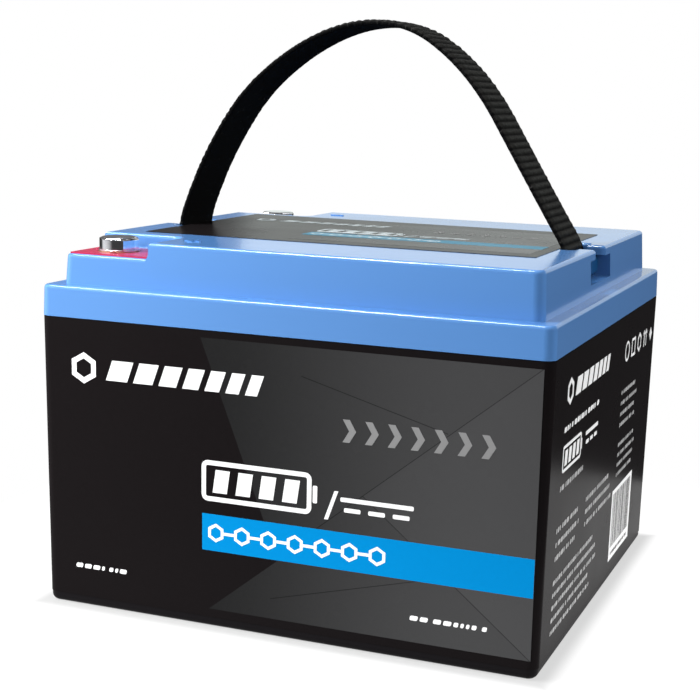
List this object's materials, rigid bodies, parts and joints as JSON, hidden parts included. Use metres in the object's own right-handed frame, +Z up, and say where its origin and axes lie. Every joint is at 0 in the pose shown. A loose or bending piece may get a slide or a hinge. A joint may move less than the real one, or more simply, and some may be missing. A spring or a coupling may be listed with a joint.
{
  "type": "deep cycle battery",
  "caption": "Block-shaped deep cycle battery with a stepped lid, two bolt terminals in corner notches, a wrap label and a webbing carry strap over the top.",
  "frame": {"origin": "centre of the flat base, on the surface that the battery stands on", "axes": "+Z up; X along the 175 mm side, +X to the right seen from the front; -Y is the front, which has the large label and the positive terminal at its left corner"},
  "size_m": [0.175, 0.166, 0.1999],
  "materials": {
    "case_plastic": "moulded ABS, satin black",
    "lid_plastic": "moulded ABS, glossy blue",
    "label_film": "printed vinyl film, satin",
    "red_plate": "moulded, crimson",
    "black_plate": "moulded, black",
    "plated_steel": "bright nickel plated",
    "terminal_brass": "turned",
    "seal_rubber": "soft black",
    "webbing": "woven polypropylene, black",
    "anchor_plastic": "moulded, dark blue",
    "cell_can": "can in a shrunk blue sleeve",
    "holder_plastic": "moulded ABS",
    "nickel": "nickel strip",
    "foam": "closed cell foam",
    "fibre_sheet": "barley paper",
    "board_laminate": "solder masked glass laminate",
    "chip_plastic": "moulded epoxy",
    "sink_aluminium": "extruded, plain",
    "socket_plastic": "nylon",
    "sense_wire": "thin insulated wires",
    "red_silicone": "silicone cable",
    "black_silicone": "silicone cable"
  },
  "bodies": {
    "root": {"case": "case_plastic", "lid": "lid_plastic", "lid_seal": "seal_rubber", "wrap_label": "label_film", "top_label": "label_film", "positive_terminal": "terminal_brass", "negative_terminal": "terminal_brass", "terminal_seal_rings": "seal_rubber", "positive_marker": "red_plate", "negative_marker": "black_plate", "strap_end_left": "webbing", "strap_end_right": "webbing", "strap_anchors": "anchor_plastic", "lower_cell_holder": "holder_plastic", "upper_cell_holder": "holder_plastic", "pack_positive_link": "nickel", "upper_series_link": "nickel", "pack_negative_link": "nickel", "lower_front_link": "nickel", "lower_rear_link": "nickel", "base_pad": "foam", "side_pads": "foam", "insulating_sheet": "fibre_sheet", "management_board": "board_laminate", "board_posts": "holder_plastic", "board_screws": "plated_steel", "power_transistors": "chip_plastic", "heat_sink": "sink_aluminium", "balance_socket": "socket_plastic", "balance_harness": "sense_wire", "lead_blocks": "nickel", "positive_lead": "red_silicone", "negative_lead": "black_silicone", "pack_negative_lead": "black_silicone", "cell_01": "cell_can", "cell_02": "cell_can", "cell_03": "cell_can", "cell_04": "cell_can", "cell_05": "cell_can", "cell_06": "cell_can", "cell_07": "cell_can", "cell_08": "cell_can", "cell_09": "cell_can", "cell_10": "cell_can", "cell_11": "cell_can", "cell_12": "cell_can", "cell_13": "cell_can", "cell_14": "cell_can", "cell_15": "cell_can", "cell_16": "cell_can", "cell_17": "cell_can", "cell_18": "cell_can", "cell_19": "cell_can", "cell_20": "cell_can"},
    "strap": {"carry_strap": "webbing"},
    "positive_washer": {"positive_washer": "plated_steel"},
    "positive_bolt": {"positive_bolt": "plated_steel"},
    "negative_washer": {"negative_washer": "plated_steel"},
    "negative_bolt": {"negative_bolt": "plated_steel"}
  },
  "joints": [
    {"name": "strap_swing", "type": "hinge", "parent": "root", "child": "strap", "pos_m": [0, 0, 0.125], "axis": [1, 0, 0], "range_deg": [-60, 60]},
    {"name": "positive_bolt_lift", "type": "slide", "parent": "root", "child": "positive_washer", "axis": [0, 0, 1], "range_m": [0, 0.01125]},
    {"name": "positive_bolt_turn", "type": "hinge", "parent": "positive_washer", "child": "positive_bolt", "pos_m": [-0.0686, -0.0638, 0.12], "axis": [0, 0, 1], "range_deg": [0, 3241]},
    {"name": "negative_bolt_lift", "type": "slide", "parent": "root", "child": "negative_washer", "axis": [0, 0, 1], "range_m": [0, 0.01125]},
    {"name": "negative_bolt_turn", "type": "hinge", "parent": "negative_washer", "child": "negative_bolt", "pos_m": [-0.0686, 0.0638, 0.12], "axis": [0, 0, 1], "range_deg": [0, 3241]}
  ],
  "couplings": [
    {"joint": "positive_bolt_turn", "follows": "positive_bolt_lift", "rad_per_m": 5026.5},
    {"joint": "negative_bolt_turn", "follows": "negative_bolt_lift", "rad_per_m": 5026.5}
  ]
}
